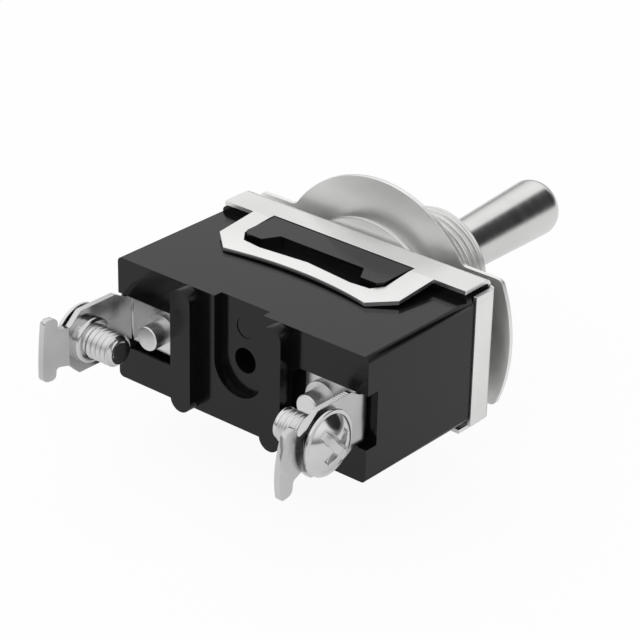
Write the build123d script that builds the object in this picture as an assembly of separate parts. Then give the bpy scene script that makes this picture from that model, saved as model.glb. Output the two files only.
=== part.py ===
from build123d import *
import math
import os

os.makedirs("parts", exist_ok=True)

# Heavy-duty panel-mount toggle switch with two screw terminals.
# The origin is the centre of the bushing on the outer face of the metal cover.
# The lever points to -Y, the terminals to +Y, X runs along the long side, +Z is up.

# Overall body
body_length = 29.9
body_width = 12.4
face_y = 17.9
body_edge_radius = 0.5
side_wall = 1.5
pocket_floor_wall = 1.6
collar_gap = 0.1
collar_ledge = 0.08
collar_rim_chamfer = 0.25

# Sheet-metal cover
cover_end_gap = 0.2
cover_side_gap = 1.085
cover_sheet = 0.4
cover_bend_radius = 0.7
end_wall_depth = 3.0
strip_depth = 3.77
body_start_gap = 0.1
tab_top_half = 10.85
tab_shoulder_half = 10.75
tab_shoulder_y = 8.6
tab_foot_half = 8.45
tab_foot_y = 10.65
tab_notch_y = 9.77
tab_foot_clearance = 0.08
window_half = 8.45
window_top_y = 3.1
window_side_y = 7.3
window_corner_half = 7.55
window_corner_y = 8.45
window_dip_half = 5.4
window_dip_y = 8.65
window_mid_y = 8.15
window_shift = 0.3

# Raised boss in each cover window
boss_gap = 0.2
boss_foot_y = 7.82
boss_corner_y = 7.22
boss_corner_cut = 0.48
boss_top = 7.25
boss_notch_y = 6.17
boss_notch_inner_half = 5.0
boss_notch_outer_half = 5.95

# Terminal face
rib_thickness = 2.42
rib_height = 1.4
rib_left_inset = 9.09
rib_right_inset = 10.0
pocket_depth = 1.4
pocket_upper_gap = 0.1
pocket_lower_gap = 0.45
pocket_corner_radius = 1.1
pocket_rib_gap = 0.1
recess_depth = 0.95
recess_radius = 2.92
recess_centre_z = -0.1
centre_hole_diameter = 2.5
centre_hole_z = 0.3
ejector_mark_diameter = 2.1
ejector_mark_z = 3.6
ejector_mark_depth = 0.08

# Bushing and lever
thread_diameter = 12.0
thread_pitch = 0.8
thread_depth = 0.4
thread_crest = 0.15
bushing_reach = 11.47
bushing_rim_chamfer = 0.25
bushing_flange_radius = 6.6
bushing_flange_thickness = 0.9
bushing_hole_clearance = 0.05
bore_radius = 3.75
mouth_radius = 4.6
bore_cone_start = 4.6
pivot_depth = 3.0
pivot_pin_diameter = 1.6
pivot_pin_length = 10.6
pivot_pin_clearance = 0.05
lever_lean = 2.3
lever_ball_radius = 3.4
lever_neck_radius = 2.25
lever_root_radius = 2.4
lever_bat_radius = 3.0
lever_reach = 27.2
dome_steps = 6
lever_root_at = 7.5
lever_bat_at = 25.1
lever_tail_radius = 2.4
lever_tail_reach = 10.5
spring_bore_radius = 1.6
spring_bore_depth = 3.3

# Plunger and spring
plunger_clearance = 0.08
plunger_back = 8.5
plunger_tip = 13.7
spring_wire = 0.35
spring_turns = 6
spring_seat_gap = 0.05
spring_side_gap = 0.18

# Contact parts
contact_sheet = 0.8
fulcrum_y = 12.6
rocker_plate_top = 10.9
rocker_half_width = 1.6
rocker_free_end = 4.5
rocker_lug_thickness = 0.6
rocker_lug_half = 1.0
rocker_lug_foot = 0.6
trunnion_radius = 0.55
trunnion_clearance = 0.05
ear_gap = 0.15
ear_thickness = 0.7
ear_half = 1.4
ear_top = 0.9
strip_half_width = 2.2
strip_rivet_margin = 2.0
button_from_rivet = 3.4
button_radius = 1.1
moving_button_height = 0.5
rocker_swing = 8.0
lever_swing = 12.0
button_gap = 0.05
button_margin = 0.3
insulator_thickness = 0.5
insulator_margin = 0.1
ledge_width = 0.5
insulator_slot_half_length = 4.2
insulator_slot_half_width = 2.9

# Terminals
terminal_sheet = 0.6
terminal_bend_radius = 0.75
terminal_left_lean = 12.0
terminal_right_lean = 8.0
terminal_left_skew = 0.06
terminal_right_skew = 0.12
terminal_foot_round = 0.6
terminal_base_half = 2.4
terminal_base_rise = 0.3
terminal_wide_half = 3.1
terminal_shoulder = 1.3
terminal_wide_length = 4.45
terminal_neck_half = 1.9
terminal_neck_taper = 1.3
terminal_neck_run = 0.05
terminal_neck_length = 1.3
terminal_bar_overhang = 1.2
terminal_left_bar_depth = 1.35
terminal_right_bar_depth = 1.7
terminal_bar_round_share = 0.5
terminal_bar_depth_share = 0.4
terminal_neck_round_share = 0.3
terminal_left_bar_shift = 0.2
terminal_right_bar_shift = -0.3
terminal_left_bow = 0.1
terminal_right_bow = 0.6
terminal_corner_radius = 0.35
terminal_inner_reach = 2.1
terminal_left_inset = 0.4
terminal_right_inset = 0.85
terminal_screw_edge = 1.05
collar_height = 0.9
collar_radius = 2.2
collar_round = 0.35
rivet_diameter = 2.4
rivet_head_diameter = 3.4
rivet_head_height = 0.7
rivet_reach = 1.6
rivet_shoulder_diameter = 3.5
rivet_shoulder_height = 0.5
rivet_hole_clearance = 0.03
rivet_from_face = 4.7
rivet_end_round = 0.15

# Terminal screws
screw_diameter = 3.2
screw_head_diameter = 6.2
screw_head_height = 1.6
screw_rim_width = 0.35
screw_rim_height = 0.35
screw_length = 5.0
screw_left_gap = 0.3
screw_right_gap = 0.5
screw_left_turn = 20
screw_right_turn = 42
screw_running_clearance = 0.05
screw_end_chamfer = 0.3
screw_slot_width = 0.9
screw_slot_depth = 0.8
screw_cross_width = 1.0
screw_cross_length = 3.2
screw_cross_depth = 1.1

# Panel hardware in front of the cover
flat_washer_diameter = 16.8
flat_washer_thickness = 0.5
flat_washer_round = 0.12
tooth_washer_diameter = 15.0
tooth_washer_thickness = 1.0
tooth_washer_ring = 0.6
tooth_count = 12
tooth_width = 1.6
plate_thickness = 0.45
plate_disc_diameter = 24.0
plate_bar_width = 12.94
plate_bar_diameter = 31.7
plate_notch_radius = 0.8
plate_corner_radius = 0.8
nut_across_flats = 14.0
nut_thickness = 2.0
nut_corner_cut = 0.5
nut_corner_drop = 0.3
hardware_clearance = 0.1

# Places worked out from the sizes above
body_half_x = body_length / 2
body_half_z = body_width / 2
cover_half_x = body_half_x + cover_end_gap
cover_half_z = body_half_z + cover_side_gap
rib_left_x = body_half_x - rib_left_inset
rib_right_x = rib_right_inset - body_half_x
terminal_left_face = body_half_x - terminal_left_inset
terminal_right_face = terminal_right_inset - body_half_x
rivet_left_x = terminal_left_face - rivet_from_face
rivet_right_x = terminal_right_face + rivet_from_face
button_x = -rivet_right_x - button_from_rivet
strip_half = cover_half_x - cover_bend_radius
end_wall_half = cover_half_z - cover_bend_radius
collar_half_x = cover_half_x - cover_sheet - collar_gap
collar_half_z = cover_half_z - cover_sheet - collar_gap
collar_end_y = strip_depth + collar_ledge
body_start_y = end_wall_depth + body_start_gap
pocket_y = face_y - pocket_depth
pocket_upper_z = terminal_base_half + pocket_upper_gap
pocket_lower_z = -terminal_base_half - pocket_lower_gap
cavity_floor_y = pocket_y - pocket_floor_wall
cavity_half_x = body_half_x - side_wall
cavity_half_z = body_half_z - side_wall
flange_under_y = cover_sheet + bushing_flange_thickness
ledge_y = flange_under_y + insulator_thickness
strip_top_y = cavity_floor_y - contact_sheet
terminal_base_top = face_y + terminal_base_rise
terminal_wide_start = terminal_base_top + terminal_shoulder
terminal_wide_end = terminal_wide_start + terminal_wide_length
terminal_neck_start = terminal_wide_end + terminal_neck_taper
terminal_tongue_y = terminal_neck_start + terminal_neck_run
terminal_bar_start = terminal_tongue_y + terminal_neck_length
terminal_screw_y = terminal_wide_end - terminal_screw_edge
terminal_bar_half = terminal_neck_half + terminal_bar_overhang
terminal_neck_round = terminal_neck_round_share * terminal_bar_overhang
thread_radius = thread_diameter / 2
pivot = (0, -pivot_depth, 0)
flat_washer_y = -flat_washer_thickness
tooth_washer_y = flat_washer_y - tooth_washer_thickness
plate_y = tooth_washer_y - plate_thickness
nut_y = plate_y - nut_thickness


def block(x0, x1, y0, y1, z0, z1):
    """A box between two corners."""
    size = Box(x1 - x0, y1 - y0, z1 - z0)
    return Pos((x0 + x1) / 2, (y0 + y1) / 2, (z0 + z1) / 2) * size


def rod(radius, y0, y1, x=0.0, z=0.0):
    """A round bar along Y."""
    bar = Rot(-90, 0, 0) * Cylinder(radius, y1 - y0)
    return Pos(x, (y0 + y1) / 2, z) * bar


def cross_rod(radius, length, y):
    """A round bar along Z, centred on the middle plane."""
    return Pos(0, y, 0) * Cylinder(radius, length)


def plan(points, z0, z1):
    """An outline in X and Y, given height from z0 to z1."""
    face = make_face(Polyline(*points, close=True))
    return extrude(Pos(0, 0, z0) * face, z1 - z0)


def both_sides(points):
    """Adds the mirror image in X of an outline that starts and ends on the centre line."""
    return points + [(-x, y) for x, y in reversed(points) if x != 0]


def face_sketch(sketch, y0, y1):
    """A sketch drawn as seen from the terminal side, with its height along Y."""
    plane = Plane(origin=(0, y0, 0), x_dir=(1, 0, 0), z_dir=(0, -1, 0))
    return extrude(plane * sketch, y0 - y1)


def turned(profile):
    """A profile of radius and place along the lever axis, turned about Y."""
    face = make_face(Polyline(*profile, close=True))
    return revolve(face, Axis.Y)


def housing():
    """Moulded body with collar, window bosses, ribs, pockets and the contact chamber."""
    main = block(-body_half_x, body_half_x, body_start_y, face_y, -body_half_z, body_half_z)
    long_edges = main.edges().filter_by(Axis.Y)
    main = fillet(long_edges, body_edge_radius)
    collar = block(-collar_half_x, collar_half_x, cover_sheet, collar_end_y, -collar_half_z, collar_half_z)
    collar = fillet(collar.edges().filter_by(Axis.Y), body_edge_radius)
    collar = chamfer(collar.edges().group_by(Axis.Y)[0], collar_rim_chamfer)
    shell = main + collar
    shell += window_bosses()
    for rib_x in (rib_left_x, rib_right_x):
        outline = Pos(rib_x, 0) * Rot(0, 0, 90) * SlotOverall(body_width, rib_thickness)
        shell += face_sketch(outline, face_y - pocket_floor_wall, face_y + rib_height)
    shell -= centre_recess()
    shell -= terminal_pocket(1) + terminal_pocket(-1)
    shell -= block(
        -cavity_half_x, cavity_half_x, cover_sheet, cavity_floor_y, -cavity_half_z, cavity_half_z
    )
    ledge_x = cavity_half_x + ledge_width
    ledge_z = cavity_half_z + ledge_width
    shell -= block(-ledge_x, ledge_x, cover_sheet, ledge_y, -ledge_z, ledge_z)
    for rivet_x in (rivet_left_x, rivet_right_x):
        shell -= rod(rivet_diameter / 2 + rivet_hole_clearance, cavity_floor_y, face_y, rivet_x)
    return shell


def window_bosses():
    """The raised blocks that fill the cover's windows, cut back in the middle of one edge."""
    boss_half = window_half - boss_gap
    half = [
        (0, window_top_y + boss_gap),
        (boss_half, window_top_y + boss_gap),
        (boss_half, boss_corner_y),
        (boss_half - boss_corner_cut, boss_foot_y),
        (boss_notch_outer_half, boss_foot_y),
        (boss_notch_inner_half, boss_notch_y),
        (0, boss_notch_y),
    ]
    outline = both_sides(half)
    root = cavity_half_z + ledge_width
    upper = Pos(window_shift, 0, 0) * plan(outline, root, boss_top)
    return upper + mirror(upper, Plane.XY)


def centre_recess():
    """The shallow U-shaped recess, its hole and the ejector mark, as one cutter."""
    floor_y = face_y - recess_depth
    open_end = body_half_z + rib_height
    arch = Pos(0, recess_centre_z) * Circle(recess_radius)
    slot_height = open_end - recess_centre_z
    arch += Pos(0, recess_centre_z + slot_height / 2) * Rectangle(2 * recess_radius, slot_height)
    cutter = face_sketch(arch, floor_y, face_y + rib_height)
    cutter -= rib_guard(rib_left_x) + rib_guard(rib_right_x)
    cutter += rod(centre_hole_diameter / 2, cavity_floor_y, face_y, 0, centre_hole_z)
    cutter += rod(ejector_mark_diameter / 2, floor_y - ejector_mark_depth, floor_y, 0, ejector_mark_z)
    return cutter


def rib_guard(rib_x):
    """Space that a rib keeps, so that the recess never cuts into it."""
    half = rib_thickness / 2
    reach = body_half_z + rib_height
    return block(rib_x - half, rib_x + half, cavity_floor_y, face_y + 2 * rib_height, -reach, reach)


def terminal_pocket(side):
    """The open-ended pocket under one terminal."""
    rib_x = rib_left_x if side > 0 else rib_right_x
    inner = rib_x + side * (rib_thickness / 2 + pocket_rib_gap)
    outer = side * (body_half_x + 2 * pocket_corner_radius)
    low, high = min(inner, outer), max(inner, outer)
    pocket = block(low, high, pocket_y, face_y + rib_height, pocket_lower_z, pocket_upper_z)
    return fillet(pocket.edges().filter_by(Axis.Y), pocket_corner_radius)


def cover_frame():
    """Bent sheet cover: front plate, two end walls and two side walls with windowed tabs."""
    ends = bent_channel(cover_half_x, [(end_wall_depth, cover_half_x)])
    ends = extrude(Pos(0, 0, -end_wall_half) * ends, 2 * end_wall_half)
    lean_drop = cover_half_z - (body_half_z + tab_foot_clearance + cover_sheet)
    side_path = [(strip_depth, cover_half_z), (tab_foot_y, cover_half_z - lean_drop)]
    sides = bent_channel(cover_half_z, side_path)
    sides = extrude(Plane.YZ.offset(-strip_half) * swap_axes(sides), 2 * strip_half)
    sides &= tab_outline()
    frame = ends + sides
    frame -= window_cutter()
    frame -= rod(thread_radius + bushing_hole_clearance, -1, 2 * cover_sheet)
    return frame


def bent_channel(half, wall_path):
    """Section of a bent channel, across in the first axis and depth in the second."""
    outer = [(half, 0)] + [(reach, depth) for depth, reach in wall_path]
    inner = [(reach - cover_sheet, depth) for depth, reach in reversed(wall_path)]
    inner += [(half - cover_sheet, cover_sheet)]
    points = [(0, 0)] + outer + inner + [(0, cover_sheet)]
    face = make_face(Polyline(*both_sides(points), close=True))
    outer_corners = face.vertices().filter_by(lambda v: abs(v.Y) < 1e-6 and abs(v.X) > half / 2)
    face = fillet(outer_corners, cover_bend_radius)
    inner_corners = face.vertices().filter_by(
        lambda v: abs(v.Y - cover_sheet) < 1e-6 and abs(abs(v.X) - half + cover_sheet) < 1e-6
    )
    return fillet(inner_corners, cover_bend_radius - cover_sheet)


def swap_axes(sketch):
    """Turns a section so that its first axis lies along Z and its second along Y."""
    return mirror(Rot(0, 0, 90) * sketch, Plane.YZ)


def tab_outline():
    """Everything of the side walls that stays: the strip and the windowed tab below it."""
    half = [
        (0, -1),
        (strip_half, -1),
        (strip_half, strip_depth),
        (tab_top_half, strip_depth),
        (tab_shoulder_half, tab_shoulder_y),
        (tab_foot_half, tab_foot_y),
    ]
    left = [(-x, y) for x, y in reversed(half) if x != 0]
    sides = Polyline(*left, *half[1:])
    lower = ThreePointArc((tab_foot_half, tab_foot_y), (0, tab_notch_y), (-tab_foot_half, tab_foot_y))
    face = make_face(sides.edges() + lower.edges() + Line(half[1], left[-1]).edges())
    return extrude(Pos(0, 0, -2 * cover_half_z) * face, 4 * cover_half_z)


def window_cutter():
    """The opening in each tab, with its shallow double dip."""
    half = [
        (0, window_top_y),
        (window_half, window_top_y),
        (window_half, window_side_y),
        (window_corner_half, window_corner_y),
        (window_dip_half, window_dip_y),
        (0, window_mid_y),
    ]
    outline = both_sides(half)
    depth = cover_half_z - body_half_z + cover_sheet
    upper = Pos(window_shift, 0, 0) * plan(outline, body_half_z - depth, cover_half_z + 1)
    return upper + mirror(upper, Plane.XY)


def thread_ridges(start_y, end_y):
    """Outline of the free thread as rings: flat crests with a V between each two."""
    root_radius = thread_radius - thread_depth
    count = math.floor((start_y - end_y - thread_crest) / thread_pitch)
    first_y = end_y + thread_crest + count * thread_pitch
    outline = [(thread_radius - thread_depth / 2, first_y)]
    for ring in range(count + 1):
        crest_y = first_y - ring * thread_pitch
        if ring:
            outline.append((root_radius, crest_y + (thread_pitch - thread_crest) / 2))
        outline += [(thread_radius, crest_y), (thread_radius, crest_y - thread_crest)]
    return outline


def bushing():
    """Threaded bushing with a flatted flange under the cover, plain where the washers and nut cover it."""
    rim = -bushing_reach
    chamfer_y = rim + bushing_rim_chamfer
    mean_radius = thread_radius - thread_depth / 2
    body = turned([
        (bore_radius, flange_under_y),
        (bushing_flange_radius, flange_under_y),
        (bushing_flange_radius, cover_sheet),
        (mean_radius, cover_sheet),
        *thread_ridges(nut_y, chamfer_y),
        (thread_radius - bushing_rim_chamfer, rim),
        (mouth_radius, rim),
        (bore_radius, -bore_cone_start),
    ])
    flat_half = cavity_half_z + ledge_width - insulator_margin
    keep = block(-thread_diameter, thread_diameter, -2 * bushing_reach, face_y, -flat_half, flat_half)
    keep += rod(thread_radius + 1, -2 * bushing_reach, cover_sheet)
    body &= keep
    return body - cross_rod(pivot_pin_diameter / 2, pivot_pin_length, -pivot_depth)


def lever_place(solid):
    """Leans a lever piece about the pivot to where the photograph shows it."""
    return Pos(*pivot) * Rot(0, 0, lever_lean) * solid


def lever():
    """Bat lever with its ball, cross hole and the hollow tail for spring and plunger."""
    waist = math.sqrt(lever_ball_radius ** 2 - lever_tail_radius ** 2)
    neck = math.sqrt(lever_ball_radius ** 2 - lever_neck_radius ** 2)
    tip_height = lever_reach - lever_bat_at
    steps = [math.pi / 2 * i / dome_steps for i in range(dome_steps + 1)]
    dome = [
        (lever_bat_radius * math.cos(a), -lever_bat_at - tip_height * math.sin(a)) for a in steps
    ]
    with BuildSketch() as sketch:
        with BuildLine():
            Line((0, lever_tail_reach), (lever_tail_radius, lever_tail_reach))
            Line((lever_tail_radius, lever_tail_reach), (lever_tail_radius, waist))
            ThreePointArc((lever_tail_radius, waist), (lever_ball_radius, 0), (lever_neck_radius, -neck))
            Line((lever_neck_radius, -neck), (lever_root_radius, -lever_root_at))
            Line((lever_root_radius, -lever_root_at), (lever_bat_radius, -lever_bat_at))
            Spline(*dome, tangents=[(0, -1), (-1, 0)])
            Line((0, -lever_reach), (0, lever_tail_reach))
        make_face()
    body = revolve(sketch.sketch, Axis.Y)
    body -= rod(spring_bore_radius, spring_bore_depth, lever_tail_reach + 1)
    body -= cross_rod(pivot_pin_diameter / 2 + pivot_pin_clearance, 4 * lever_ball_radius, 0)
    return lever_place(body)


def plunger():
    """Round-nosed plunger that slides in the lever's tail."""
    radius = spring_bore_radius - plunger_clearance
    nose = Pos(0, plunger_tip - radius, 0) * Sphere(radius)
    return lever_place(rod(radius, plunger_back, plunger_tip - radius) + nose)


def plunger_spring():
    """Coil spring between the lever's bore end and the plunger."""
    coil_radius = spring_bore_radius - spring_side_gap - spring_wire / 2
    start = spring_bore_depth + spring_seat_gap + spring_wire / 2
    length = plunger_back - spring_seat_gap - spring_wire / 2 - start
    path = Helix(length / spring_turns, length, coil_radius)
    section = Plane(path @ 0, z_dir=path % 0) * Circle(spring_wire / 2)
    coil = sweep(section, path)
    return lever_place(Pos(0, start, 0) * Rot(-90, 0, 0) * coil)


def rocker_place(solid):
    """Turns a piece of the rocking blade to where the lever's lean puts it."""
    turn = -lever_lean * rocker_swing / lever_swing
    return Pos(0, fulcrum_y, 0) * Rot(0, 0, turn) * Pos(0, -fulcrum_y, 0) * solid


def rocker_contact():
    """Rocking blade with two lugs and the stub pins that it turns on."""
    plate_under = rocker_plate_top + contact_sheet
    blade = block(
        -button_x - button_radius, rocker_free_end, rocker_plate_top, plate_under,
        -rocker_half_width, rocker_half_width,
    )
    lug_outer = rocker_half_width + rocker_lug_thickness
    lug_foot = fulcrum_y + rocker_lug_foot
    for side in (-1, 1):
        z0, z1 = sorted((side * rocker_half_width, side * lug_outer))
        blade += block(-rocker_lug_half, rocker_lug_half, rocker_plate_top, lug_foot, z0, z1)
    pin_half = lug_outer + ear_gap + ear_thickness
    for side in (-1, 1):
        pin = Pos(0, fulcrum_y, side * (rocker_half_width + pin_half) / 2)
        blade += pin * Cylinder(trunnion_radius, pin_half - rocker_half_width)
    return rocker_place(blade)


def moving_button():
    """Silver contact on the rocking blade."""
    under = rocker_plate_top + contact_sheet
    return rocker_place(rod(button_radius, under, under + moving_button_height, -button_x))


def fulcrum_strip():
    """Floor strip from the left rivet to the two ears that carry the rocking blade."""
    end_x = rivet_left_x + strip_rivet_margin
    strip = block(
        -ear_half, end_x, strip_top_y, cavity_floor_y, -strip_half_width, strip_half_width,
    )
    ear_inner = rocker_half_width + rocker_lug_thickness + ear_gap
    ear_outer = ear_inner + ear_thickness
    strip += block(-ear_half, ear_half, strip_top_y, cavity_floor_y, -ear_outer, ear_outer)
    for side in (-1, 1):
        z0, z1 = sorted((side * ear_inner, side * ear_outer))
        strip += block(-ear_half, ear_half, fulcrum_y - ear_top, cavity_floor_y, z0, z1)
    strip -= cross_rod(trunnion_radius + trunnion_clearance, 4 * ear_outer, fulcrum_y)
    return strip - rod(rivet_diameter / 2 + rivet_hole_clearance, 0, face_y, rivet_left_x)


def fixed_strip():
    """Floor strip from the right rivet to the fixed contact."""
    far_x = rivet_right_x - strip_rivet_margin
    near_x = -button_x + button_radius + button_margin
    strip = block(far_x, near_x, strip_top_y, cavity_floor_y, -strip_half_width, strip_half_width)
    return strip - rod(rivet_diameter / 2 + rivet_hole_clearance, 0, face_y, rivet_right_x)


def fixed_button():
    """Silver contact that the rocking blade meets at the end of its swing."""
    swing = math.radians(rocker_swing)
    face = rocker_plate_top + contact_sheet + moving_button_height - fulcrum_y
    reach = button_x + button_radius
    closed_y = fulcrum_y + reach * math.sin(swing) + face * math.cos(swing)
    return rod(button_radius, closed_y + button_gap, strip_top_y, -button_x)


def insulating_sheet():
    """Fibre sheet with a slot for the lever's tail, on the ledge under the bushing flange."""
    half_x = cavity_half_x + ledge_width - insulator_margin
    half_z = cavity_half_z + ledge_width - insulator_margin
    sheet = block(-half_x, half_x, flange_under_y, ledge_y, -half_z, half_z)
    slot = SlotOverall(2 * insulator_slot_half_length, 2 * insulator_slot_half_width)
    return sheet - face_sketch(slot, flange_under_y - 1, ledge_y + 1)


def sheet_section(path, thickness):
    """Section of a bent sheet whose middle line follows the path in X and Y."""
    points = [Vector(x, y, 0) for x, y in path]
    runs = [(b - a).normalized() for a, b in zip(points, points[1:])]
    normals = [Vector(-run.Y, run.X, 0) for run in runs]
    pairs = zip([normals[0]] + normals, normals + [normals[-1]])
    mitres = [(n + m) * (1 / (1 + n.dot(m))) for n, m in pairs]
    one = [p + m * (thickness / 2) for p, m in zip(points, mitres)]
    other = [p - m * (thickness / 2) for p, m in zip(points, mitres)]
    return make_face(Polyline(*one, *reversed(other), close=True))


def rounded(face, corner, radius):
    """A face with its corner nearest to this place rounded."""
    return fillet(face.vertices().sort_by_distance((*corner, 0))[0], radius)


def terminal_outline(bar_depth, bow, skew, bar_shift):
    """Terminal upright as seen from its end: base, wide part, neck and a cross bar with a bowed edge."""
    bar_end = terminal_bar_start + bar_depth
    bar_round = min(
        terminal_bar_round_share * terminal_bar_overhang, terminal_bar_depth_share * bar_depth
    )
    waist = [
        (terminal_base_half, terminal_base_top),
        (terminal_wide_half, terminal_wide_start),
        (terminal_wide_half, terminal_wide_end),
        (terminal_neck_half, terminal_neck_start),
    ]
    bar = [
        (terminal_neck_half, terminal_bar_start),
        (terminal_bar_half, terminal_bar_start),
        (terminal_bar_half, bar_end),
    ]
    radii = 4 * [terminal_corner_radius] + [terminal_neck_round] + 2 * [bar_round]
    both = []
    for side in (1, -1):
        places = [(side * x, y) for x, y in waist] + [(side * x + bar_shift, y) for x, y in bar]
        both.append([(x, y - skew * x) for x, y in places])
    one, other = both
    root = pocket_y - 1
    sides = Polyline(*reversed(other), (-terminal_base_half, root), (terminal_base_half, root), *one)
    edge = ThreePointArc(one[-1], (bar_shift, bar_end + bow - skew * bar_shift), other[-1])
    outline = make_face(sides.edges() + edge.edges())
    for corner, radius in zip(one + other, 2 * radii):
        outline = rounded(outline, corner, radius)
    far = 2 * cover_half_x
    plane = Plane(origin=(-far, 0, 0), x_dir=(0, 0, 1), z_dir=(-1, 0, 0))
    return extrude(plane * outline, -2 * far)


def terminal(side, face_x, inner_x, bar_depth, lean, bow, skew, bar_shift):
    """Bent sheet terminal: riveted foot, upright with a screw hole, and a leaning cross bar."""
    middle_x = face_x - side * terminal_sheet / 2
    foot_y = pocket_y + terminal_sheet / 2
    end_y = terminal_bar_start + 2 * bar_depth + bow
    end_x = middle_x + side * math.tan(math.radians(lean)) * (end_y - terminal_tongue_y)
    path = [(inner_x, foot_y), (middle_x, foot_y), (middle_x, terminal_tongue_y), (end_x, end_y)]
    section = sheet_section(path, terminal_sheet)
    for offset, radius in ((1, terminal_bend_radius), (-1, terminal_bend_radius - terminal_sheet)):
        corner = (middle_x + offset * side * terminal_sheet / 2, foot_y - offset * terminal_sheet / 2)
        section = rounded(section, corner, radius)
    sheet = extrude(Pos(0, 0, -cover_half_z) * section, 2 * cover_half_z)
    piece = sheet & terminal_outline(bar_depth, bow, skew, bar_shift)
    foot_ends = piece.edges().filter_by(Axis.Y).sort_by_distance((inner_x, foot_y, 0))[:2]
    piece = fillet(foot_ends, terminal_foot_round)
    inner_face_x = middle_x - side * terminal_sheet / 2
    collar = Cylinder(collar_radius, collar_height + terminal_sheet)
    collar = fillet(collar.edges().filter_by(GeomType.CIRCLE).sort_by(Axis.Z)[0], collar_round)
    piece += screw_place(side, inner_face_x) * Pos(0, 0, (terminal_sheet - collar_height) / 2) * collar
    hole = screw_place(side, middle_x) * Cylinder(
        screw_diameter / 2 + screw_running_clearance, 4 * collar_height + 2 * terminal_sheet
    )
    rivet_x = rivet_left_x if side > 0 else rivet_right_x
    return piece - hole - rod(rivet_diameter / 2 + rivet_hole_clearance, 0, 2 * face_y, rivet_x)


def screw_place(side, x):
    """A place on the screw's axis, with its own Z pointing out to the head."""
    return Location(Plane(origin=(x, terminal_screw_y, 0), x_dir=(0, 0, 1), z_dir=(side, 0, 0)))


def terminal_screw(side, face_x, gap, turn):
    """Domed screw with a thin rim, a slot and a cross, at its crest size."""
    rim_radius = screw_head_diameter / 2
    dome_half = rim_radius - screw_rim_width
    dome_rise = screw_head_height - screw_rim_height
    dome_radius = (dome_half**2 + dome_rise**2) / (2 * dome_rise)
    head = Pos(0, 0, screw_head_height / 2) * Cylinder(dome_half, screw_head_height)
    head &= Pos(0, 0, screw_head_height - dome_radius) * Sphere(dome_radius)
    head += Pos(0, 0, screw_rim_height / 2) * Cylinder(rim_radius, screw_rim_height)
    shank = Pos(0, 0, -screw_length / 2) * Cylinder(screw_diameter / 2, screw_length)
    shank = chamfer(shank.edges().filter_by(GeomType.CIRCLE).sort_by(Axis.Z)[0], screw_end_chamfer)
    slot = Box(2 * screw_head_diameter, screw_slot_width, 2 * screw_slot_depth)
    cross = Box(screw_cross_width, screw_cross_length, 2 * screw_cross_depth)
    cross += Box(screw_cross_length, screw_cross_width, 2 * screw_cross_depth)
    recess = Pos(0, 0, screw_head_height) * (slot + cross)
    return screw_place(side, face_x + side * gap) * Rot(0, 0, turn) * (head + shank - recess)


def rivet(x):
    """Terminal rivet with its head in the chamber and its shoulder and end outside the foot."""
    head_y = strip_top_y
    head = rod(rivet_head_diameter / 2, head_y - rivet_head_height, head_y, x)
    shank = rod(rivet_diameter / 2, head_y, face_y + rivet_reach, x)
    shank = fillet(shank.edges().filter_by(GeomType.CIRCLE).sort_by(Axis.Y)[-1], rivet_end_round)
    foot_top = pocket_y + terminal_sheet
    shoulder = rod(rivet_shoulder_diameter / 2, foot_top, foot_top + rivet_shoulder_height, x)
    return head + shank + shoulder


def pivot_pin():
    """Cross pin that the lever turns on."""
    return cross_rod(pivot_pin_diameter / 2, pivot_pin_length, -pivot_depth)


def flat_washer():
    """Plain washer against the cover."""
    ring = rod(flat_washer_diameter / 2, flat_washer_y, 0)
    ring = fillet(ring.edges().filter_by(GeomType.CIRCLE), flat_washer_round)
    return ring - thread_hole()


def tooth_washer():
    """Lock washer with inward teeth."""
    outer = tooth_washer_diameter / 2
    root = outer - tooth_washer_ring
    ring = rod(outer, tooth_washer_y, flat_washer_y) - rod(root, nut_y, 0)
    overlap = tooth_washer_ring / 2
    tooth = block(0, root + overlap, tooth_washer_y, flat_washer_y, -tooth_width / 2, tooth_width / 2)
    ring = ring + [Rot(0, 360 / tooth_count * i, 0) * tooth for i in range(tooth_count)]
    return ring - thread_hole()


def thread_hole():
    """Space that the thread takes through the washers, the plate and the nut."""
    return rod(thread_radius + hardware_clearance, nut_y - nut_thickness, cover_sheet)


def name_plate():
    """Thin indicator plate: a disc joined to a bar with round ends."""
    bar = Circle(plate_bar_diameter / 2) & Rectangle(2 * plate_bar_diameter, plate_bar_width)
    bar = fillet(bar.vertices(), plate_corner_radius)
    outline = bar + Circle(plate_disc_diameter / 2)
    inner_corners = outline.vertices().filter_by(
        lambda v: abs(math.hypot(v.X, v.Y) - plate_disc_diameter / 2) < 1e-4
    )
    outline = fillet(inner_corners, plate_notch_radius)
    plate = face_sketch(outline, plate_y, tooth_washer_y)
    return plate - thread_hole()


def hex_nut():
    """Panel nut in front of the indicator plate."""
    hexagon = RegularPolygon(nut_across_flats / 2, 6, major_radius=False)
    nut = face_sketch(hexagon, nut_y, plate_y)
    crown = nut_across_flats / math.sqrt(3)
    flat_end = crown - nut_corner_cut
    dome = turned([
        (0, plate_y),
        (flat_end, plate_y),
        (crown, plate_y - nut_corner_drop),
        (crown, nut_y + nut_corner_drop),
        (flat_end, nut_y),
        (0, nut_y),
    ])
    return (nut & dome) - thread_hole()


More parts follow.
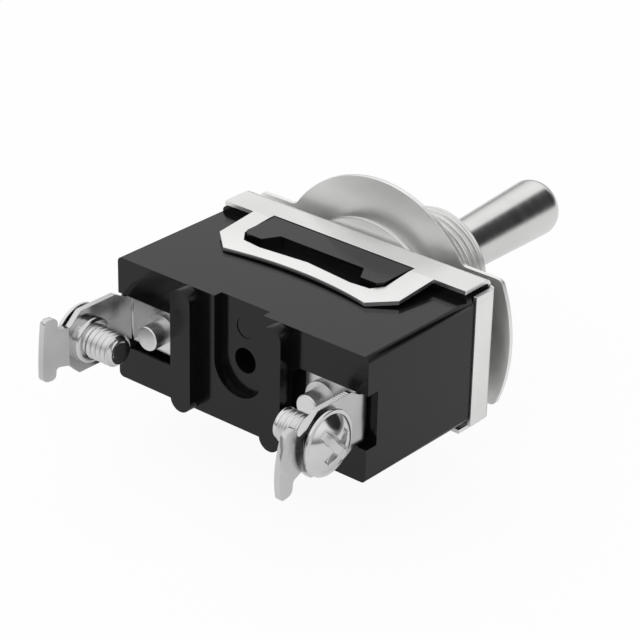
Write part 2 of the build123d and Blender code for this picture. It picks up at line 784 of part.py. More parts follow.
left_foot_x = rivet_left_x - terminal_inner_reach
right_foot_x = rivet_right_x + terminal_inner_reach
pieces = {
    "housing": housing(),
    "cover_frame": cover_frame(),
    "bushing": bushing(),
    "pivot_pin": pivot_pin(),
    "lever": lever(),
    "plunger": plunger(),
    "plunger_spring": plunger_spring(),
    "rocker_contact": rocker_contact(),
    "moving_button": moving_button(),
    "fulcrum_strip": fulcrum_strip(),
    "fixed_strip": fixed_strip(),
    "fixed_button": fixed_button(),
    "insulating_sheet": insulating_sheet(),
    "left_terminal": terminal(
        1, terminal_left_face, left_foot_x, terminal_left_bar_depth, terminal_left_lean,
        terminal_left_bow, terminal_left_skew, terminal_left_bar_shift,
    ),
    "right_terminal": terminal(
        -1, terminal_right_face, right_foot_x, terminal_right_bar_depth, terminal_right_lean,
        terminal_right_bow, terminal_right_skew, terminal_right_bar_shift,
    ),
    "left_rivet": rivet(rivet_left_x),
    "right_rivet": rivet(rivet_right_x),
    "left_terminal_screw": terminal_screw(1, terminal_left_face, screw_left_gap, screw_left_turn),
    "right_terminal_screw": terminal_screw(-1, terminal_right_face, screw_right_gap, screw_right_turn),
    "flat_washer": flat_washer(),
    "tooth_washer": tooth_washer(),
    "name_plate": name_plate(),
    "hex_nut": hex_nut(),
}
for name, solid in pieces.items():
    export_step(solid, f"parts/{name}.step")
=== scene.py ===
# %% [markdown]
# A heavy-duty toggle switch, seen from behind, on a white sheet
#
# The measured solids are already there as a fixed frame. This script dresses them: it swaps the
# threaded and turned pieces for finer surfaces, softens the edges of the folded and moulded ones,
# and gives every piece the finish of the real material. Nothing that was measured is moved.

# %% Load the frame
import math
import bmesh
import bpy
import numpy as np
from mathutils import Matrix, Vector


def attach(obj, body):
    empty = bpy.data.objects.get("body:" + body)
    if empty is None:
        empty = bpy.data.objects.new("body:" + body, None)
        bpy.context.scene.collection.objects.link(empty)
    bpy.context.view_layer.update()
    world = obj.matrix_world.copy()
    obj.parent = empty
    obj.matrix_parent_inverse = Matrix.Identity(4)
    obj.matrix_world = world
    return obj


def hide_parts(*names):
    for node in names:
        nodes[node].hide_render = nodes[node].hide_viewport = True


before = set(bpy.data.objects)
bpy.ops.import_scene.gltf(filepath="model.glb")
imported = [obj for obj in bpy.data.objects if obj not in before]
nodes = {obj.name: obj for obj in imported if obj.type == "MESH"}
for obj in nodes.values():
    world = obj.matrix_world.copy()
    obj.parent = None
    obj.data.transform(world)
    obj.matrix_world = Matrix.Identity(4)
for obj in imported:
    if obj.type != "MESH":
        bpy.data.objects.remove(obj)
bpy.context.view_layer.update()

MM = 0.001
print("solids in the frame:", len(nodes))

# %% [markdown]
# ## Camera and light
#
# The switch was photographed with a long lens from behind and above, in front of pure white.
# The view could be set by eye. It was worked out instead from the straight edges of the body and
# the round rims of the washers, so that every edge falls where the photograph shows it.

# %% Camera
CAMERA_AT = Vector((-133.06, 166.52, 106.38)) * MM
CAMERA_RIGHT = Vector((-0.7622, -0.6471, 0.0196)).normalized()
CAMERA_FORWARD = Vector((0.5700, -0.6851, -0.4535)).normalized()
CAMERA_LENS, CAMERA_SENSOR, CAMERA_NEAREST = 141.73, 36, 0.01

camera_data = bpy.data.cameras.new("studio_camera")
camera_data.lens = CAMERA_LENS
camera_data.sensor_width = CAMERA_SENSOR
camera_data.clip_start = CAMERA_NEAREST
camera = bpy.data.objects.new("studio_camera", camera_data)
bpy.context.scene.collection.objects.link(camera)
up = CAMERA_RIGHT.cross(CAMERA_FORWARD)
right = CAMERA_FORWARD.cross(up)
turn = Matrix((right, up, -CAMERA_FORWARD)).transposed()
camera.matrix_world = Matrix.Translation(CAMERA_AT) @ turn.to_4x4()
bpy.context.scene.camera = camera
bpy.context.scene.view_settings.view_transform = "Standard"
print("camera", round(camera_data.lens, 2), "mm lens")


# %% [markdown]
# ## One helper for every material
#
# A shader is a small graph. It could be wired by hand in the editor. In code it stays short with
# one function that adds a node, sets its values and links its inputs, whatever the kind.

# %% Colours and nodes
def srgb(code):
    """Linear colour of an sRGB hex value."""
    parts = [int(code[i:i + 2], 16) / 255 for i in (1, 3, 5)]
    return (*[c / 12.92 if c <= 0.04045 else ((c + 0.055) / 1.055) ** 2.4 for c in parts], 1.0)


def add(tree, kind, settings=(), **links):
    """Adds a node. Settings with a plain name are its own, those with a capital are sockets."""
    item = tree.nodes.new(kind)
    for key, value in dict(settings).items():
        if key[0].isupper():
            item.inputs[key].default_value = value
        else:
            setattr(item, key, value)
    for key, source in links.items():
        tree.links.new(source, item.inputs[key.replace("__", " ")])
    return item


def material(name):
    """An empty material, its tree and the object's own coordinates."""
    made = bpy.data.materials.new(name)
    made.use_nodes = True
    tree = made.node_tree
    tree.nodes.clear()
    place = add(tree, "ShaderNodeTexCoord").outputs["Object"]
    return made, tree, place


def finish(tree, shader):
    """Links the shader to the material's output."""
    add(tree, "ShaderNodeOutputMaterial", Surface=shader.outputs[0])


def per_mm(count):
    """A pattern scale for so many features in each millimetre."""
    return count / MM


# %% [markdown]
# ## Studio
#
# The real backdrop is a white sweep with soft light from above, so the metal is bright, and each
# round piece shows a dark line where the sweep ends and the room begins. Lamps could do it, but
# each would leave a spot. Here the surround itself is the lamp: its strength is a curve over the
# height above the horizon, low just over the floor's edge, and one dark card hangs in front.

# %% Surround
# Height of a direction, 0 at the horizon and 1 straight up, and the light from there.
SKY_CURVE = [(-0.02, 0.75), (0.03, 0.22), (0.14, 0.30), (0.34, 0.92), (0.60, 1.15), (1.0, 1.05)]
SKY_LOW, SKY_TOP = -0.1, 1.15
# Where the dark card hangs, the radius of its core and of its soft edge, and the light it leaves.
CARD_TOWARDS, CARD_CORE, CARD_EDGE, CARD_LEVEL = (-0.50, -0.69, 0.53), 0.40, 0.52, 0.03

world = bpy.data.worlds.new("white_tent")
bpy.context.scene.world = world
world.use_nodes = True
tree = world.node_tree
tree.nodes.clear()
towards = add(tree, "ShaderNodeTexCoord").outputs["Generated"]
height = add(tree, "ShaderNodeSeparateXYZ")
tree.links.new(towards, height.inputs[0])
sky = add(tree, "ShaderNodeValToRGB")
span = add(tree, "ShaderNodeMapRange", {"From Min": SKY_LOW, "From Max": 1.0},
           Value=height.outputs["Z"])
tree.links.new(span.outputs[0], sky.inputs[0])
stops = sky.color_ramp.elements
while len(stops) < len(SKY_CURVE):
    stops.new(0.5)
for stop, (at, level) in zip(stops, SKY_CURVE):
    stop.position = (at - SKY_LOW) / (1 - SKY_LOW)
    stop.color = (*[level / SKY_TOP] * 3, 1)
near = add(tree, "ShaderNodeVectorMath", {"operation": "DOT_PRODUCT"})
near.inputs[1].default_value = Vector(CARD_TOWARDS).normalized()
tree.links.new(towards, near.inputs[0])
card = add(tree, "ShaderNodeMapRange", {
    "interpolation_type": "SMOOTHSTEP",
    "From Min": math.cos(CARD_EDGE), "From Max": math.cos(CARD_CORE),
    "To Min": SKY_TOP, "To Max": SKY_TOP * CARD_LEVEL}, Value=near.outputs["Value"])
light = add(tree, "ShaderNodeMath", {"operation": "MULTIPLY"})
tree.links.new(sky.outputs["Color"], light.inputs[0])
tree.links.new(card.outputs[0], light.inputs[1])
ray = add(tree, "ShaderNodeLightPath")
seen = add(tree, "ShaderNodeMix", {"data_type": "FLOAT"})
tree.links.new(ray.outputs["Is Camera Ray"], seen.inputs[0])
tree.links.new(light.outputs[0], seen.inputs[2])
seen.inputs[3].default_value = 1.0
tent = add(tree, "ShaderNodeBackground", {"Color": srgb("#ffffff")}, Strength=seen.outputs[0])
add(tree, "ShaderNodeOutputWorld", Surface=tent.outputs[0])

# %% [markdown]
# The floor could be paper alone, but then it would come out grey where the photograph is pure
# white. So it also glows: almost fully towards the camera, and by a third in what metal mirrors.

# %% Floor
FLOOR_Z = -12.1 * MM
FLOOR_HALF = 2.0
GLOW_TO_CAMERA, GLOW_IN_MIRRORS = 0.93, 0.35


def flat_card(name, corners):
    """A flat sheet through four corners."""
    mesh = bpy.data.meshes.new(name)
    mesh.from_pydata([tuple(c) for c in corners], [], [tuple(range(len(corners)))])
    card = bpy.data.objects.new(name, mesh)
    bpy.context.scene.collection.objects.link(card)
    return card


floor = flat_card("white_floor", [
    (-FLOOR_HALF, -FLOOR_HALF, FLOOR_Z), (FLOOR_HALF, -FLOOR_HALF, FLOOR_Z),
    (FLOOR_HALF, FLOOR_HALF, FLOOR_Z), (-FLOOR_HALF, FLOOR_HALF, FLOOR_Z),
])
white, tree, _ = material("white_paper_sweep")
ray = add(tree, "ShaderNodeLightPath")
lit = add(tree, "ShaderNodeMath", {"operation": "MULTIPLY"})
lit.inputs[1].default_value = GLOW_TO_CAMERA
tree.links.new(ray.outputs["Is Camera Ray"], lit.inputs[0])
mirrored = add(tree, "ShaderNodeMath", {"operation": "MULTIPLY_ADD"})
mirrored.inputs[1].default_value = GLOW_IN_MIRRORS
tree.links.new(ray.outputs["Is Glossy Ray"], mirrored.inputs[0])
tree.links.new(lit.outputs[0], mirrored.inputs[2])
paper = add(tree, "ShaderNodeBsdfDiffuse", {"Color": srgb("#fafafa")})
glow = add(tree, "ShaderNodeEmission", {"Color": srgb("#ffffff"), "Strength": 1.0})
both = add(tree, "ShaderNodeMixShader")
tree.links.new(mirrored.outputs[0], both.inputs[0])
tree.links.new(paper.outputs[0], both.inputs[1])
tree.links.new(glow.outputs[0], both.inputs[2])
finish(tree, both)
floor.data.materials.append(white)


# %% [markdown]
# ## Finishes
#
# The body is a pressed black thermoset: very dark, with the sheen of the polished mould. The metal
# is nickel plate, satin on the folded cover and bright on what was turned or stamped. A metal needs
# hardly any colour of its own. What tells satin from bright is roughness, and what keeps it from
# looking like a mirror ball is a fine unevenness, so each finish gets its own grain. The two
# strips inside are brass in a near-black colour, painted shade that leaves the centre hole black.

# %% Black moulded body
def moulded_black(name, base, rough):
    """Pressed thermoset: dark, glossy, with flow marks some millimetres wide and a fine grain."""
    made, tree, place = material(name)
    cloud = add(tree, "ShaderNodeTexNoise", {"Scale": per_mm(0.22), "Detail": 3.0}, Vector=place)
    grain = add(tree, "ShaderNodeTexNoise", {"Scale": per_mm(2.5), "Detail": 4.0}, Vector=place)
    spread = add(tree, "ShaderNodeMapRange", {"To Min": rough - 0.03, "To Max": rough + 0.05},
                 Value=cloud.outputs["Fac"])
    bump = add(tree, "ShaderNodeBump", {"Strength": 0.06, "Distance": 0.02 * MM},
               Height=grain.outputs["Fac"])
    shade = add(tree, "ShaderNodeValToRGB", Fac=cloud.outputs["Fac"])
    shade.color_ramp.elements[0].color = srgb(base[0])
    shade.color_ramp.elements[1].color = srgb(base[1])
    skin = add(tree, "ShaderNodeBsdfPrincipled", {"IOR": 1.5, "Specular IOR Level": 0.26},
               Base__Color=shade.outputs["Color"], Roughness=spread.outputs[0],
               Normal=bump.outputs[0])
    finish(tree, skin)
    return made


# %% Plated metal
PATCHES_PER_MM, WAVES_PER_MM = 0.12, 0.33
TONE_FROM, TONE_TO = 0.35, 0.65
GRAIN_STRENGTH, GRAIN_DEPTH = 0.05, 0.02 * MM
SHANK_MIDDLE, SHANK_HALF = 12.2 * MM, 2.1 * MM


def plated(name, colours, rough, grain_mm, along=(1, 1, 1), waves=0.0, dull_shank=0.0):
    """Metal with a grain so many to the millimetre, drawn out along an axis where it was worked.
    Stamped sheet also has slow waves, given as their height in millimetres, and a rolled thread is
    duller than the head of its screw."""
    made, tree, place = material(name)
    stretch = add(tree, "ShaderNodeMapping", {"Scale": along}, Vector=place)
    cloud = add(tree, "ShaderNodeTexNoise", {"Scale": per_mm(PATCHES_PER_MM), "Detail": 2.0},
                Vector=place)
    grain = add(tree, "ShaderNodeTexNoise", {"Scale": per_mm(grain_mm), "Detail": 3.0},
                Vector=stretch.outputs[0])
    tone = add(tree, "ShaderNodeValToRGB", Fac=cloud.outputs["Fac"])
    tone.color_ramp.elements[0].position = TONE_FROM
    tone.color_ramp.elements[1].position = TONE_TO
    tone.color_ramp.elements[0].color = srgb(colours[0])
    tone.color_ramp.elements[1].color = srgb(colours[1])
    spread = add(tree, "ShaderNodeMapRange", {"To Min": rough * 0.8, "To Max": rough * 1.25},
                 Value=grain.outputs["Fac"])
    dents = add(tree, "ShaderNodeBump", {"Strength": GRAIN_STRENGTH, "Distance": GRAIN_DEPTH},
                Height=grain.outputs["Fac"])
    rough_all = spread.outputs[0]
    if dull_shank:
        across = add(tree, "ShaderNodeSeparateXYZ")
        tree.links.new(place, across.inputs[0])
        apart = add(tree, "ShaderNodeMath", {"operation": "ABSOLUTE"})
        tree.links.new(across.outputs["X"], apart.inputs[0])
        within = add(tree, "ShaderNodeMath", {"operation": "COMPARE"})
        within.inputs[1].default_value = SHANK_MIDDLE
        within.inputs[2].default_value = SHANK_HALF
        tree.links.new(apart.outputs[0], within.inputs[0])
        total = add(tree, "ShaderNodeMath", {"operation": "MULTIPLY_ADD"})
        total.inputs[1].default_value = dull_shank
        tree.links.new(within.outputs[0], total.inputs[0])
        tree.links.new(spread.outputs[0], total.inputs[2])
        rough_all = total.outputs[0]
    if waves:
        swell = add(tree, "ShaderNodeTexNoise", {"Scale": per_mm(WAVES_PER_MM), "Detail": 0.0},
                    Vector=place)
        dents = add(tree, "ShaderNodeBump", {"Strength": 1.0, "Distance": waves * MM},
                    Height=swell.outputs["Fac"], Normal=dents.outputs[0])
    skin = add(tree, "ShaderNodeBsdfPrincipled", {"Metallic": 1.0},
               Base__Color=tone.outputs["Color"], Roughness=rough_all, Normal=dents.outputs[0])
    finish(tree, skin)
    return made


phenolic = moulded_black("black_pressed_thermoset", ("#0b0b0c", "#101011"), 0.14)
satin_nickel = plated("satin_nickel_on_folded_steel", ("#e3e3e2", "#eaeae9"), 0.32, 1.2,
                      (0.15, 1, 1))
bright_nickel = plated("bright_nickel_on_stamped_brass", ("#b4b4b4", "#cbcbcb"), 0.18, 0.8,
                       waves=0.10)
turned_nickel = plated("bright_nickel_on_turned_brass", ("#d0d0cf", "#d8d8d7"), 0.24, 2.2,
                       (0.1, 1, 0.1))
screw_nickel = plated("bright_nickel_on_headed_steel", ("#c6c6c6", "#d8d8d8"), 0.15, 1.4,
                      waves=0.04, dull_shank=0.2)
rivet_nickel = plated("nickel_on_headed_rivet", ("#d2d2d2", "#dedede"), 0.38, 1.2)
# Painted light: the name plate's nickel gets a lighter colour than the rest of the nickel, standing
# for the brighter light it shows.
plate_nickel_lightened_as_painted_light = plated("thin_sheet_nickel_lightened_as_painted_light", ("#f0f0ef", "#f4f4f3"), 0.44, 0.5)
washer_nickel = plated("nickel_on_spring_steel", ("#cecece", "#d8d8d7"), 0.20, 1.2)
drawn_steel = plated("drawn_steel", ("#9a9a9a", "#aaaaab"), 0.25, 2.0, (1, 0.2, 1))
spring_steel = plated("oiled_spring_wire", ("#6e6e70", "#7c7c7e"), 0.28, 2.0)
bare_copper = plated("stamped_bare_copper", ("#c9825a", "#d39068"), 0.26, 1.6, (0.2, 1, 1))
# Painted shade: the brass strips get a near-black colour that stands for the shade inside the
# centre hole.
brass_painted_dark_for_hole_shade = plated("stamped_brass_painted_dark_for_hole_shade", ("#2c2820", "#3a352a"), 0.45, 1.6, (0.2, 1, 1))
pressed_silver = plated("pressed_silver", ("#e6e4df", "#efede8"), 0.22, 1.8)


# %% Fibre sheet
def vulcanised_fibre(name):
    """Dark red-brown insulating sheet with a short paper grain."""
    made, tree, place = material(name)
    fibres = add(tree, "ShaderNodeTexNoise", {"Scale": per_mm(3.0), "Detail": 5.0}, Vector=place)
    tone = add(tree, "ShaderNodeValToRGB", Fac=fibres.outputs["Fac"])
    tone.color_ramp.elements[0].color = srgb("#3d2318")
    tone.color_ramp.elements[1].color = srgb("#5a3626")
    bump = add(tree, "ShaderNodeBump", {"Strength": 0.2, "Distance": 0.03 * MM},
               Height=fibres.outputs["Fac"])
    skin = add(tree, "ShaderNodeBsdfPrincipled", {"Roughness": 0.6},
               Base__Color=tone.outputs["Color"], Normal=bump.outputs[0])
    finish(tree, skin)
    return made


fibre = vulcanised_fibre("dark_vulcanised_fibre")

FINISHES = {
    "housing": phenolic,
    "cover_frame": satin_nickel,
    "bushing": turned_nickel,
    "pivot_pin": drawn_steel,
    "lever": turned_nickel,
    "plunger": drawn_steel,
    "plunger_spring": spring_steel,
    "rocker_contact": bare_copper,
    "moving_button": pressed_silver,
    "fulcrum_strip": brass_painted_dark_for_hole_shade,
    "fixed_strip": brass_painted_dark_for_hole_shade,
    "fixed_button": pressed_silver,
    "insulating_sheet": fibre,
    "left_terminal": bright_nickel,
    "right_terminal": bright_nickel,
    "left_rivet": rivet_nickel,
    "right_rivet": rivet_nickel,
    "left_terminal_screw": screw_nickel,
    "right_terminal_screw": screw_nickel,
    "flat_washer": washer_nickel,
    "tooth_washer": washer_nickel,
    "name_plate": plate_nickel_lightened_as_painted_light,
    "hex_nut": turned_nickel,
}
for name, finish_of in FINISHES.items():
    for held in nodes[name].material_slots:
        held.material = finish_of
print("finishes given:", len(FINISHES))

# %% [markdown]
# ## Softened edges
#
# No stamped or moulded edge is knife-sharp: the tiny round along it is what catches the light.
# It could be modelled on every solid. A Bevel modifier adds it after the loose triangles of the
# frame are welded, and only where two faces meet at a clear angle.

# %% Edge rounds
WELD_WITHIN, CLEAR_ANGLE, ROUND_STEPS = 1e-6, math.radians(32), 2
EDGE_ROUNDS_MM = {
    "housing": 0.18,
    "cover_frame": 0.05,
    "left_terminal": 0.07,
    "right_terminal": 0.07,
    "name_plate": 0.12,
    "hex_nut": 0.10,
    "tooth_washer": 0.05,
    "fulcrum_strip": 0.05,
    "fixed_strip": 0.05,
    "rocker_contact": 0.05,
}
for name, width in EDGE_ROUNDS_MM.items():
    piece = nodes[name]
    weld = piece.modifiers.new("weld", "WELD")
    weld.merge_threshold = WELD_WITHIN
    bevel = piece.modifiers.new("edge_round", "BEVEL")
    bevel.width = width * MM
    bevel.segments = ROUND_STEPS
    bevel.limit_method = "ANGLE"
    bevel.angle_limit = CLEAR_ANGLE
    bevel.harden_normals = True

# %% [markdown]
# ## Turned and threaded pieces
#
# The bushing, the lever and the screws are all made on a lathe or rolled between dies, so each is
# a profile carried round an axis. A spin with many steps would do for the plain ones. Working the
# surface out on a grid also gives the thread: its height depends on the distance along the axis
# plus the part of the pitch that the angle has used up.

# %% A grid of points into a mesh
MERGE_WITHIN, NO_LENGTH = 1e-7, 1e-8


def tidy_mesh(mesh):
    """Merges doubled points at the poles, turns every face outwards and shades it smoothly."""
    work = bmesh.new()
    work.from_mesh(mesh)
    bmesh.ops.remove_doubles(work, verts=work.verts, dist=MERGE_WITHIN)
    bmesh.ops.dissolve_degenerate(work, dist=NO_LENGTH, edges=work.edges)
    bmesh.ops.recalc_face_normals(work, faces=work.faces)
    work.to_mesh(mesh)
    work.free()
    mesh.shade_smooth()


def grid_piece(name, points, body, finish_of, replaces, close_v=True):
    """Quads over points[v, u]: u always runs round and closes, and v closes too unless its two ends
    are single points."""
    rows, cols = points.shape[:2]
    v, u = np.meshgrid(np.arange(rows if close_v else rows - 1), np.arange(cols), indexing="ij")
    v2, u2 = (v + 1) % rows, (u + 1) % cols
    corners = [v * cols + u, v * cols + u2, v2 * cols + u2, v2 * cols + u]
    quads = np.stack(corners, axis=-1).reshape(-1, 4)
    mesh = bpy.data.meshes.new(name)
    mesh.from_pydata(points.reshape(-1, 3) * MM, [], quads.tolist())
    made = bpy.data.objects.new(name, mesh)
    bpy.context.scene.collection.objects.link(made)
    tidy_mesh(mesh)
    mesh.materials.append(finish_of)
    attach(made, body)
    if replaces:
        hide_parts(replaces)
    print(name, len(mesh.polygons), "faces")


def all_round(count):
    """Angles in so many even steps round an axis, the last one step short of the first."""
    return np.linspace(0, 2 * math.pi, count, endpoint=False)


# %% Profiles with rounded corners
ARC_POINTS, NEARLY_STRAIGHT = 5, 0.01


def rounded(points, radii):
    """A line through points in a plane with each inner corner replaced by an arc of its radius."""
    out = [np.array(points[0], float)]
    for before, corner, after, radius in zip(points, points[1:], points[2:], radii):
        a, b, c = (np.array(p, float) for p in (before, corner, after))
        one, two = (a - b) / np.linalg.norm(a - b), (c - b) / np.linalg.norm(c - b)
        half = math.acos(np.clip(one @ two, -1, 1)) / 2
        if radius <= 0 or half > math.pi / 2 - NEARLY_STRAIGHT:
            out.append(b)
            continue
        middle = b + (one + two) / np.linalg.norm(one + two) * radius / math.sin(half)
        start, end = b + one * radius / math.tan(half), b + two * radius / math.tan(half)
        first = math.atan2(*(start - middle)[::-1])
        sweep = (math.atan2(*(end - middle)[::-1]) - first + math.pi) % (2 * math.pi) - math.pi
        angles = first + sweep * np.linspace(0, 1, ARC_POINTS)
        out += list(middle + radius * np.stack([np.cos(angles), np.sin(angles)], axis=-1))
    return np.array(out + [np.array(points[-1], float)])


def dense(profile, step):
    """The same line with points no further apart than the step, ends kept."""
    runs = []
    for a, b in zip(profile, profile[1:]):
        count = max(1, int(math.ceil(np.linalg.norm(b - a) / step)))
        runs.append(a + (b - a) * np.linspace(0, 1, count, endpoint=False)[:, None])
    return np.concatenate(runs + [profile[-1:]])


VEE_STEEPNESS, VEE_ROOT = 2.6, 0.15


def smooth(t):
    """A step from 0 to 1 that starts and ends level: t t (3 - 2 t), with t held from 0 to 1."""
    t = np.clip(t, 0, 1)
    return t * t * (3 - 2 * t)


def thread(along, angle, pitch, depth, low, high, fade):
    """How far a thread is cut in: a blunt V of the given depth that repeats each pitch, moves on by
    a pitch each turn and runs out within the fade distance of both ends."""
    phase = (along / pitch + angle / (2 * math.pi)) % 1.0
    vee = smooth(np.abs(phase - 0.5) * VEE_STEEPNESS - VEE_ROOT)
    window = np.clip((along - low) / fade, 0, 1) * np.clip((high - along) / fade, 0, 1)
    return depth * (1 - vee) * window


# %% [markdown]
# ### Threaded bushing
#
# A turned brass sleeve with a fine thread outside and a conical mouth for the lever. The thread
# could be a texture, but at this size its flanks show in outline, so it is cut into the surface.

# %% Bushing
THREAD_R, BUSHING_RIM_Y, BUSHING_PITCH = 6.0, -11.47, 0.8
THREAD_DEPTH, THREAD_END_Y, THREAD_FADE = 0.42, -0.3, 0.5
FLANGE_R, FLANGE_BACK_Y, FLANGE_FLAT_Z, COVER_Y = 6.55, 1.28, 5.05, 0.42
BORE_R, MOUTH_R, CONE_Y, BORE_END_Y = 3.76, 4.6, -4.6, -0.1
CLEAR_OF_BORE_R, CLEARANCE = 5.5, 0.1
SLEEVE_ROUNDS, SLEEVE_STEP, SLEEVE_SIDES = [0.1, 0.15, 0.1, 0.05, 0.45, 0.25, 0.5], 0.09, 160

angle = all_round(SLEEVE_SIDES)
line = rounded(
    [(BORE_R, 0), (BORE_R, FLANGE_BACK_Y), (FLANGE_R, FLANGE_BACK_Y), (FLANGE_R, COVER_Y),
     (THREAD_R, COVER_Y), (THREAD_R, BUSHING_RIM_Y), (MOUTH_R, BUSHING_RIM_Y), (BORE_R, CONE_Y),
     (BORE_R, BORE_END_Y)],
    SLEEVE_ROUNDS)
line = dense(line, SLEEVE_STEP)
radius, along = line[:, :1], line[:, 1:]
outside = (radius > CLEAR_OF_BORE_R) & (along < COVER_Y - CLEARANCE)
cut = thread(along, angle, BUSHING_PITCH, THREAD_DEPTH, BUSHING_RIM_Y - CLEARANCE, THREAD_END_Y,
             THREAD_FADE)
radius = radius - np.where(outside, cut, 0)
sleeve = np.stack([radius * np.cos(angle), along + 0 * angle, radius * np.sin(angle)], axis=-1)
z = sleeve[..., 2]
sleeve[..., 2] = np.where(along > COVER_Y, np.clip(z, -FLANGE_FLAT_Z, FLANGE_FLAT_Z), z)
grid_piece("threaded_bushing", sleeve, "body", turned_nickel, "bushing")

# %% [markdown]
# ### Bat lever
#
# A turned brass bat: a ball inside the bushing, a slim neck, a slow taper out to a blunt round
# end. The turning leaves it the straightest reflections on the whole switch.

# %% Lever
PIVOT_Y, LEAN = -3.0, math.radians(2.3)
BALL_R, NECK_R, ROOT_R, BAT_R = 3.38, 2.25, 2.4, 3.0
NECK_AT, ROOT_AT, BAT_AT, TIP_AT = 2.53, 7.5, 25.1, 27.2
TAIL_R, TAIL_AT, TAIL_CHAMFER, SPRING_R, SPRING_AT = 2.4, 10.5, 0.2, 1.6, 3.3
TAPER_IN, TAPER_BACK = 0.05, 1.5
LEVER_STEP, LEVER_SIDES = 0.5, 96


def lean_with_lever(points):
    """Turns points about the pivot by the lever's lean and sets them in the frame."""
    c, s = math.cos(LEAN), math.sin(LEAN)
    x, y, z = points[..., 0], points[..., 1], points[..., 2]
    return np.stack([x * c - y * s, x * s + y * c + PIVOT_Y, z], axis=-1)


tail_meets_ball = math.atan2(math.sqrt(BALL_R ** 2 - TAIL_R ** 2), TAIL_R)
ball = np.linspace(math.atan2(-NECK_AT, NECK_R), tail_meets_ball, 30)
dome = np.linspace(math.pi / 2, 0, 24)
line = np.concatenate([
    np.stack([BAT_R * np.cos(dome), -BAT_AT - (TIP_AT - BAT_AT) * np.sin(dome)], -1),
    [(BAT_R - TAPER_IN, -BAT_AT + TAPER_BACK)],
    [(ROOT_R, -ROOT_AT)],
    np.stack([BALL_R * np.cos(ball), BALL_R * np.sin(ball)], -1),
    [(TAIL_R, TAIL_AT - TAIL_CHAMFER), (TAIL_R - TAIL_CHAMFER, TAIL_AT), (SPRING_R, TAIL_AT),
     (SPRING_R, SPRING_AT), (0, SPRING_AT)],
])
line[0, 0] = 0
line = dense(line, LEVER_STEP)
angle = all_round(LEVER_SIDES)
radius, along = line[:, :1], line[:, 1:]
turned = np.stack([radius * np.cos(angle), along + 0 * angle, radius * np.sin(angle)], axis=-1)
grid_piece("bat_lever", lean_with_lever(turned), "lever", turned_nickel, "lever",
           False)

# %% [markdown]
# ### Terminal screws
#
# Domed screws with a thin rim, a slot and a cross. The recess could be cut with a boolean. Here the
# head is a height worked out over the disc: part of a ball that stops at the rim, cut down wherever
# a point lies inside the slot or the cross, with walls a tenth of a millimetre wide. The cross is
# the deeper one at the middle and rises towards its ends.

# %% Screws
SCREW_R, SCREW_LENGTH, SCREW_PITCH, SCREW_Y = 1.6, 5.0, 0.6, 22.9
CUT_DEPTH, CUT_FROM, CUT_FADE, CUT_PAST = 0.16, -0.3, 0.3, 0.2
POINT_IN, POINT_BACK, CORE_R, PLAY, UNDER_HEAD = 0.35, 0.3, 1.0, 0.01, -0.1
RIM_R, RIM_H, HEAD_R, HEAD_H = 3.1, 0.35, 2.75, 1.6
DOME_R = (HEAD_R ** 2 + (HEAD_H - RIM_H) ** 2) / (2 * (HEAD_H - RIM_H))
SLOT_HALF, SLOT_FLOOR = 0.42, 0.8
ARM_HALF, ARM_REACH, ARM_FLOOR, ARM_RISE = 0.48, 1.65, 0.5, 0.15
WALL = 0.12
SCREW_ROUNDS, SCREW_STEP, SCREW_SIDES, HEAD_RINGS = [0.12, 0.12, 0.15, 0.1, 0.08], 0.07, 216, 84


def ramp(value, edge, width):
    """1 well inside an edge, 0 well outside, and a smooth step of that width between."""
    return smooth((edge - value) / width + 0.5)


def head_height(radius, angle):
    """Height of the head over the disc: part of a ball, cut down to the floor of the slot or of the
    cross where a point lies inside one, whichever is lower."""
    crown = HEAD_H - DOME_R + np.sqrt(DOME_R ** 2 - radius ** 2) + 0 * angle
    x, y = np.abs(radius * np.cos(angle)), np.abs(radius * np.sin(angle))
    slot = ramp(y, SLOT_HALF, WALL) * np.clip(crown - SLOT_FLOOR, 0, None)
    arm = np.maximum(ramp(y, ARM_HALF, WALL) * ramp(x, ARM_REACH, 2 * WALL),
                     ramp(x, ARM_HALF, WALL) * ramp(y, ARM_REACH, 2 * WALL))
    cross = arm * np.clip(crown - ARM_FLOOR - ARM_RISE * radius, 0, None)
    return crown - np.maximum(slot, cross)


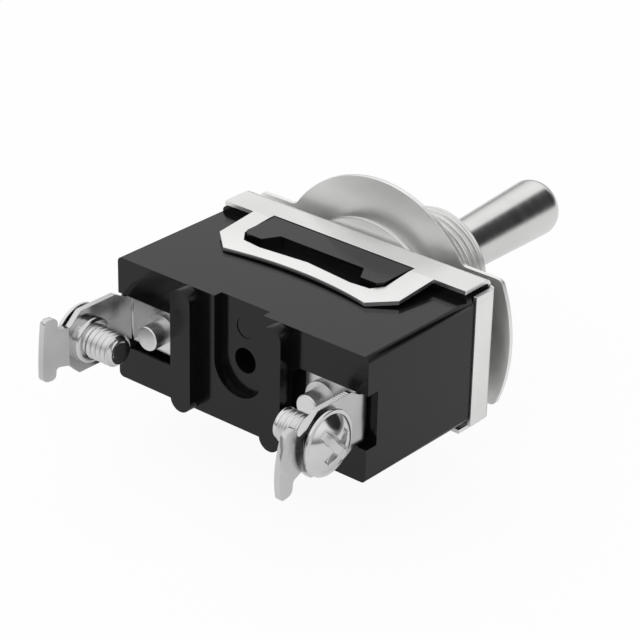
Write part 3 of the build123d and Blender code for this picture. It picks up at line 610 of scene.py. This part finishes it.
def screw(name, replaces, head_at, side, turned_by):
    """One screw with its head's seat at head_at along X, its shank pointing inwards and its recess
    turned by so many degrees."""
    angle = all_round(SCREW_SIDES)
    disc = np.linspace(0, HEAD_R, HEAD_RINGS)[:, None]
    top = np.stack([disc + 0 * angle, head_height(disc, angle)], axis=-1)
    side_line = dense(rounded(
        [(HEAD_R, RIM_H), (RIM_R, RIM_H), (RIM_R, 0), (SCREW_R, 0),
         (SCREW_R, -SCREW_LENGTH + POINT_BACK), (SCREW_R - POINT_IN, -SCREW_LENGTH),
         (0, -SCREW_LENGTH)],
        SCREW_ROUNDS), SCREW_STEP)
    radius, along = side_line[:, :1], side_line[:, 1:]
    cut = thread(along, angle, SCREW_PITCH, CUT_DEPTH, -SCREW_LENGTH - CUT_PAST, CUT_FROM,
                 CUT_FADE)
    shank = (radius > CORE_R) & (radius < SCREW_R + PLAY) & (along < UNDER_HEAD)
    radius = np.where(shank, radius - cut, radius + 0 * angle)
    rest = np.stack([radius, along + 0 * angle], axis=-1)
    line = np.concatenate([top[:-1], rest])
    spin = angle + math.radians(turned_by)
    r, h = line[..., 0], line[..., 1]
    x, y, z = head_at + side * h, SCREW_Y - side * r * np.sin(spin), r * np.cos(spin)
    body = replaces.replace("_terminal", "")
    grid_piece(name, np.stack([x, y, z], axis=-1), body, screw_nickel, replaces,
               False)


LEFT_FACE, RIGHT_FACE, LEFT_GAP, RIGHT_GAP = 14.55, -14.1, 0.3, 0.5
LEFT_TURN, RIGHT_TURN = 20, 42
screw("left_pan_head_screw", "left_terminal_screw", LEFT_FACE + LEFT_GAP, 1, LEFT_TURN)
screw("right_pan_head_screw", "right_terminal_screw", RIGHT_FACE - RIGHT_GAP, -1, RIGHT_TURN)

# %% [markdown]
# ### Sheared edge
#
# The press left a row of short ridges on the right terminal's upper edge. A bump could fake them,
# but they stand against the dark body, so they are a strip of their own on top of the sheet: a
# rounded bar whose height follows a cosine along its length.

# %% Ridges on the upper edge
EDGE_LOW, EDGE_HIGH, EDGE_Z, SHEET = 19.35, 23.3, 3.1, 0.6
RIDGE_PITCH, RIDGE_HEIGHT, SUNK_IN, PROUD = 0.33, 0.09, 0.1, 0.005
STRIP_ROWS, STRIP_SIDES, SQUARENESS = 145, 16, 0.4


def squarish(wave):
    """A sine wave drawn towards its ends, so that two of them go round a rounded square:
    the sign of w times |w| to the power of SQUARENESS."""
    return np.sign(wave) * np.abs(wave) ** SQUARENESS


along = np.linspace(EDGE_LOW, EDGE_HIGH, STRIP_ROWS)[:, None]
turns = 2 * math.pi * (along - EDGE_LOW) / RIDGE_PITCH
ridge = EDGE_Z + RIDGE_HEIGHT * (0.5 - 0.5 * np.cos(turns))
half_up = (ridge - EDGE_Z + SUNK_IN) / 2
angle = all_round(STRIP_SIDES)
across = squarish(np.cos(angle)) * (SHEET / 2 + PROUD)
upward = squarish(np.sin(angle))
strip = np.stack([RIGHT_FACE + SHEET / 2 + across + 0 * along, along + 0 * across,
                  ridge - half_up + upward * half_up], axis=-1)
for end in (0, -1):
    strip[end] = strip[end].mean(axis=0)
grid_piece("sheared_edge_ridges", strip, "body", bright_nickel, None, False)
